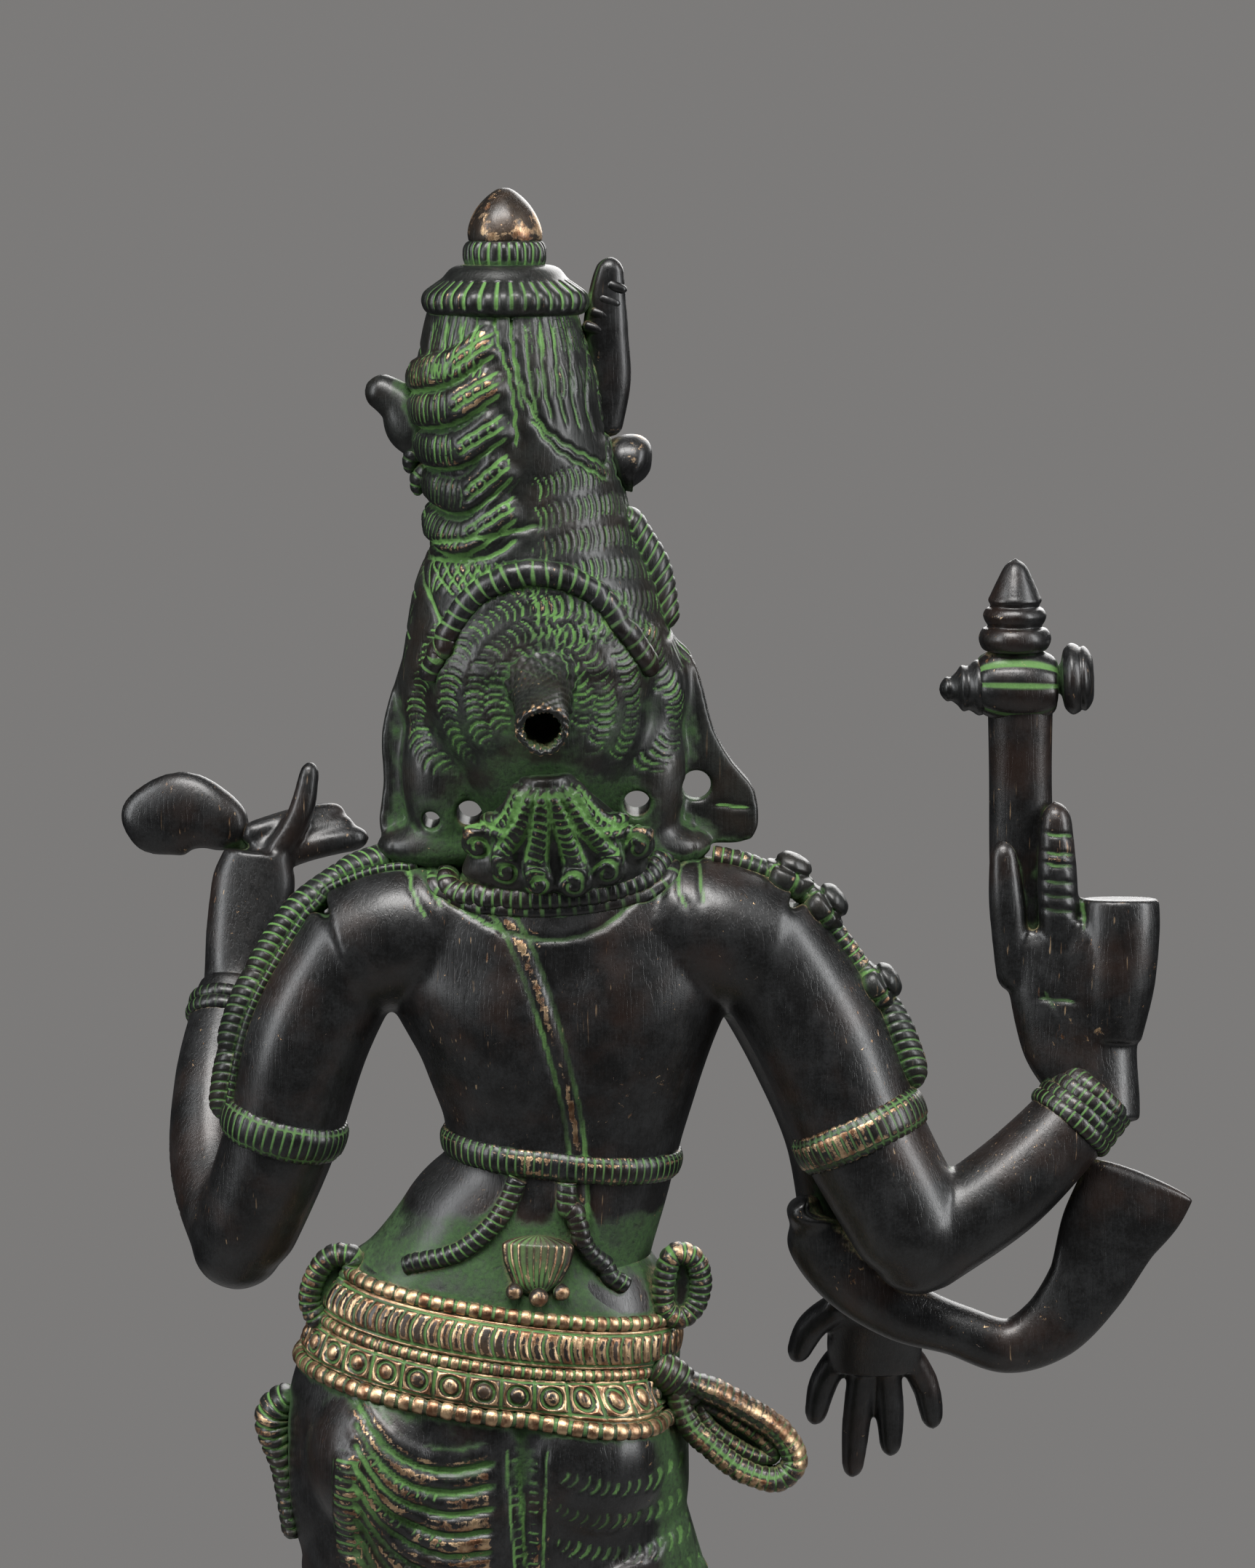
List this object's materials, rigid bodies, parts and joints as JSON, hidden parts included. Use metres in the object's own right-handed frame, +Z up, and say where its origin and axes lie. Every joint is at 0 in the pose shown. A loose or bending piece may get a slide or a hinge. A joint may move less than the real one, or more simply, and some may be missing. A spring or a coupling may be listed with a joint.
{
  "type": "brass temple figure on lotus pedestal",
  "caption": "Standing cast brass temple figure, half male and half female, with tall matted-hair crown, raised axe, held flower and fish-tailed scarf, tenoned into a lotus pedestal.",
  "frame": {"origin": "middle of the plinth's underside, on the surface it stands on", "axes": "+Z up; the figure faces -Y; +X towards the figure's own left, which is the viewer's right in a front view"},
  "size_m": [0.1568, 0.0954, 0.3504],
  "materials": {
    "dark_patina": "near-black satin patina on brass, rubbed through at high spots",
    "verdigris_relief": "dark patina with green corrosion in every groove",
    "rubbed_brass": "patina rubbed back to warm satin brass on the raised parts",
    "pedestal_bronze": "dark satin patina with green in the petal grooves"
  },
  "bodies": {
    "root": {"arch_cord": "verdigris_relief", "axe_finial": "rubbed_brass", "axe_head": "dark_patina", "axe_shaft": "dark_patina", "chest_necklace": "dark_patina", "crown": "verdigris_relief", "crown_blade": "dark_patina", "crown_braid": "verdigris_relief", "crown_collar": "verdigris_relief", "crown_crescent": "verdigris_relief", "crown_finial": "rubbed_brass", "crown_knob": "dark_patina", "crown_ring": "verdigris_relief", "fan_clasp": "rubbed_brass", "foot_plate": "dark_patina", "girdle_bead_row_lower": "rubbed_brass", "girdle_bead_row_middle": "rubbed_brass", "girdle_bead_row_upper": "rubbed_brass", "girdle_crescent_band": "rubbed_brass", "girdle_panel_band": "rubbed_brass", "halo_peg": "dark_patina", "head": "dark_patina", "held_lily": "dark_patina", "hips": "dark_patina", "left_anklet": "dark_patina", "left_arm": "dark_patina", "left_armlet": "dark_patina", "left_back_cord": "dark_patina", "left_bracelet": "dark_patina", "left_ear_wing": "verdigris_relief", "left_hand": "dark_patina", "left_hem_wing": "verdigris_relief", "left_hip_loop": "verdigris_relief", "left_leg_skirt": "verdigris_relief", "left_shoulder_tassels": "verdigris_relief", "lotus_seat": "pedestal_bronze", "nape_locks": "verdigris_relief", "necklace": "verdigris_relief", "plinth": "pedestal_bronze", "right_anklet": "dark_patina", "right_back_cord": "dark_patina", "right_ear_wing": "verdigris_relief", "right_front_arm": "dark_patina", "right_front_bracelet": "dark_patina", "right_front_hand": "dark_patina", "right_hip_loop": "verdigris_relief", "right_leg": "dark_patina", "right_rear_arm": "dark_patina", "right_rear_armlet": "dark_patina", "right_rear_bracelet_lower": "dark_patina", "right_rear_bracelet_upper": "dark_patina", "right_rear_hand": "dark_patina", "right_sash_loop": "rubbed_brass", "right_short_cloth": "verdigris_relief", "right_shoulder_strap": "verdigris_relief", "sacred_thread": "dark_patina", "scarf": "dark_patina", "torso": "dark_patina", "waist_cord": "dark_patina"}
  },
  "joints": []
}
